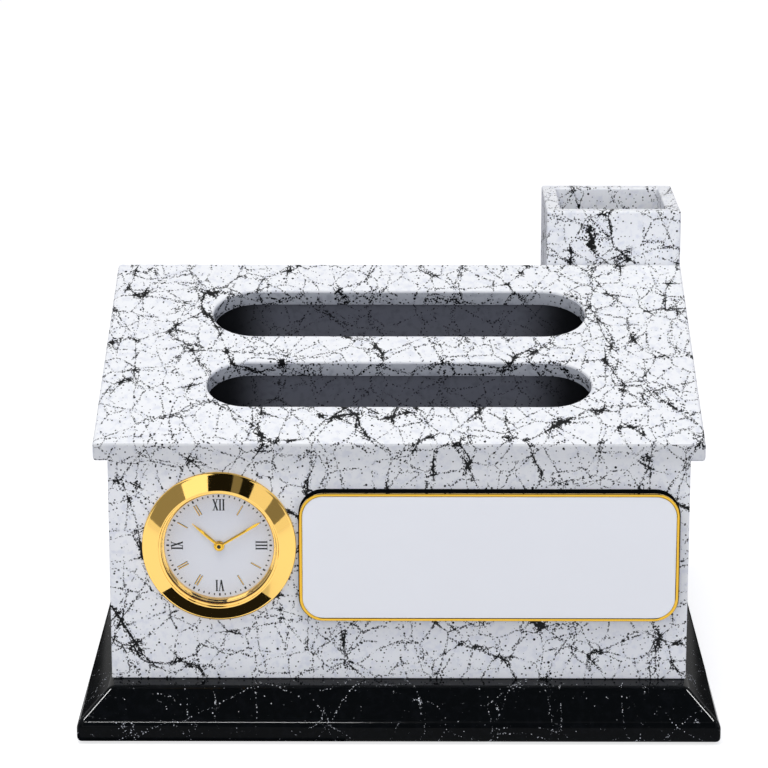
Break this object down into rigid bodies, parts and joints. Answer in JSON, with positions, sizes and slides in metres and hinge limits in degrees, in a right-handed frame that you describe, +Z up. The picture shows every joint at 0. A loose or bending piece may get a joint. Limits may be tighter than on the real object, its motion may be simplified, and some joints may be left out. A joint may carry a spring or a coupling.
{
  "type": "desk organizer with clock",
  "caption": "Lean-to desk organizer with card slots in a sloping roof, a push-in quartz clock, a name plate, a phone trough and a pen box on a bevelled base.",
  "frame": {"origin": "on the ground under the middle of the base", "axes": "+X to the right seen from the front, +Y from the clock towards the pen box at the back, +Z up"},
  "size_m": [0.1642, 0.1528, 0.1178],
  "materials": {
    "white_marble": "marble-pattern lacquered board, satin",
    "black_marble": "marble-pattern lacquered board, high gloss",
    "gold_metal": "polished gold plating",
    "brass_works": "plain brass",
    "steel": "plain steel",
    "black_plastic": "moulded, matt",
    "black_acrylic": "cut acrylic, gloss",
    "white_acrylic": "gloss",
    "silver_dial": "fine satin lacquer",
    "clear_lens": "clear, polished",
    "rubber": "matt",
    "copper_wire": "enamelled copper wire",
    "circuit_board": "solder resist"
  },
  "bodies": {
    "organizer_body": {"base_plate": "black_marble", "foot_front_left": "rubber", "foot_front_right": "rubber", "foot_rear_left": "rubber", "foot_rear_right": "rubber", "front_wall": "white_marble", "left_wall": "white_marble", "right_wall": "white_marble", "rear_wall": "white_marble", "roof_plate": "white_marble", "pocket_front_wall": "white_marble", "pocket_partition": "white_marble", "front_pocket_floor": "white_marble", "rear_pocket_floor": "white_marble", "phone_ledge": "white_marble", "phone_back_rest": "white_marble", "phone_end_stop": "white_marble", "pen_box_front": "white_marble", "pen_box_back": "white_marble", "pen_box_left": "white_marble", "pen_box_right": "white_marble", "pen_box_floor": "white_marble", "name_plate_backing": "black_acrylic", "name_plate_frame": "gold_metal", "name_plate_face": "white_acrylic"},
    "clock_insert_body": {"clock_case": "brass_works", "clock_bezel": "gold_metal", "clock_lens": "clear_lens", "chapter_ring": "gold_metal", "clock_dial": "silver_dial", "grip_ring": "rubber", "movement_plate": "black_plastic", "train_bridge": "steel", "bridge_screw_1": "steel", "bridge_screw_2": "steel", "bridge_screw_3": "steel", "stator": "steel", "coil_core": "steel", "coil": "copper_wire", "circuit_board": "circuit_board", "battery_contact": "brass_works", "battery": "steel", "battery_clip": "brass_works", "quartz_crystal": "steel", "timing_chip": "black_plastic", "back_cover": "black_plastic"},
    "minute_hand_body": {"minute_hand": "gold_metal", "centre_arbor": "brass_works"},
    "hour_hand_body": {"hour_hand": "gold_metal", "hour_wheel": "brass_works"},
    "minute_wheel_body": {"minute_wheel": "brass_works"},
    "intermediate_wheel_body": {"intermediate_wheel": "brass_works"},
    "rotor_body": {"rotor": "steel"},
    "setting_knob_body": {"setting_knob": "black_plastic"},
    "battery_hatch_body": {"battery_hatch": "black_plastic"}
  },
  "joints": [
    {"name": "clock_pulls_out", "type": "slide", "parent": "organizer_body", "child": "clock_insert_body", "axis": [0, -1, 0], "range_m": [0, 0.016]},
    {"name": "minute_hand_spin", "type": "hinge", "parent": "clock_insert_body", "child": "minute_hand_body", "pos_m": [-0.0459, -0.06252, 0.04875], "axis": [0, 1, 0], "continuous": true},
    {"name": "hour_hand_spin", "type": "hinge", "parent": "clock_insert_body", "child": "hour_hand_body", "pos_m": [-0.0459, -0.06252, 0.04875], "axis": [0, 1, 0], "continuous": true},
    {"name": "minute_wheel_spin", "type": "hinge", "parent": "clock_insert_body", "child": "minute_wheel_body", "pos_m": [-0.0459, -0.0605, 0.05355], "axis": [0, 1, 0], "continuous": true},
    {"name": "intermediate_wheel_spin", "type": "hinge", "parent": "clock_insert_body", "child": "intermediate_wheel_body", "pos_m": [-0.04125, -0.0575, 0.04706], "axis": [0, 1, 0], "continuous": true},
    {"name": "rotor_spin", "type": "hinge", "parent": "clock_insert_body", "child": "rotor_body", "pos_m": [-0.03945, -0.0565, 0.05017], "axis": [0, 1, 0], "continuous": true},
    {"name": "setting_knob_spin", "type": "hinge", "parent": "clock_insert_body", "child": "setting_knob_body", "pos_m": [-0.0459, -0.0515, 0.05835], "axis": [0, 1, 0], "continuous": true},
    {"name": "battery_hatch_turn", "type": "hinge", "parent": "clock_insert_body", "child": "battery_hatch_body", "pos_m": [-0.0545, -0.0518, 0.04355], "axis": [0, 1, 0], "range_deg": [0, 90]}
  ],
  "couplings": [
    {"joint": "hour_hand_spin", "follows": "minute_hand_spin", "ratio": 0.083333},
    {"joint": "minute_wheel_spin", "follows": "minute_hand_spin", "ratio": -0.33333},
    {"joint": "intermediate_wheel_spin", "follows": "minute_hand_spin", "ratio": -10},
    {"joint": "rotor_spin", "follows": "minute_hand_spin", "ratio": 90},
    {"joint": "setting_knob_spin", "follows": "minute_hand_spin", "ratio": 1}
  ]
}
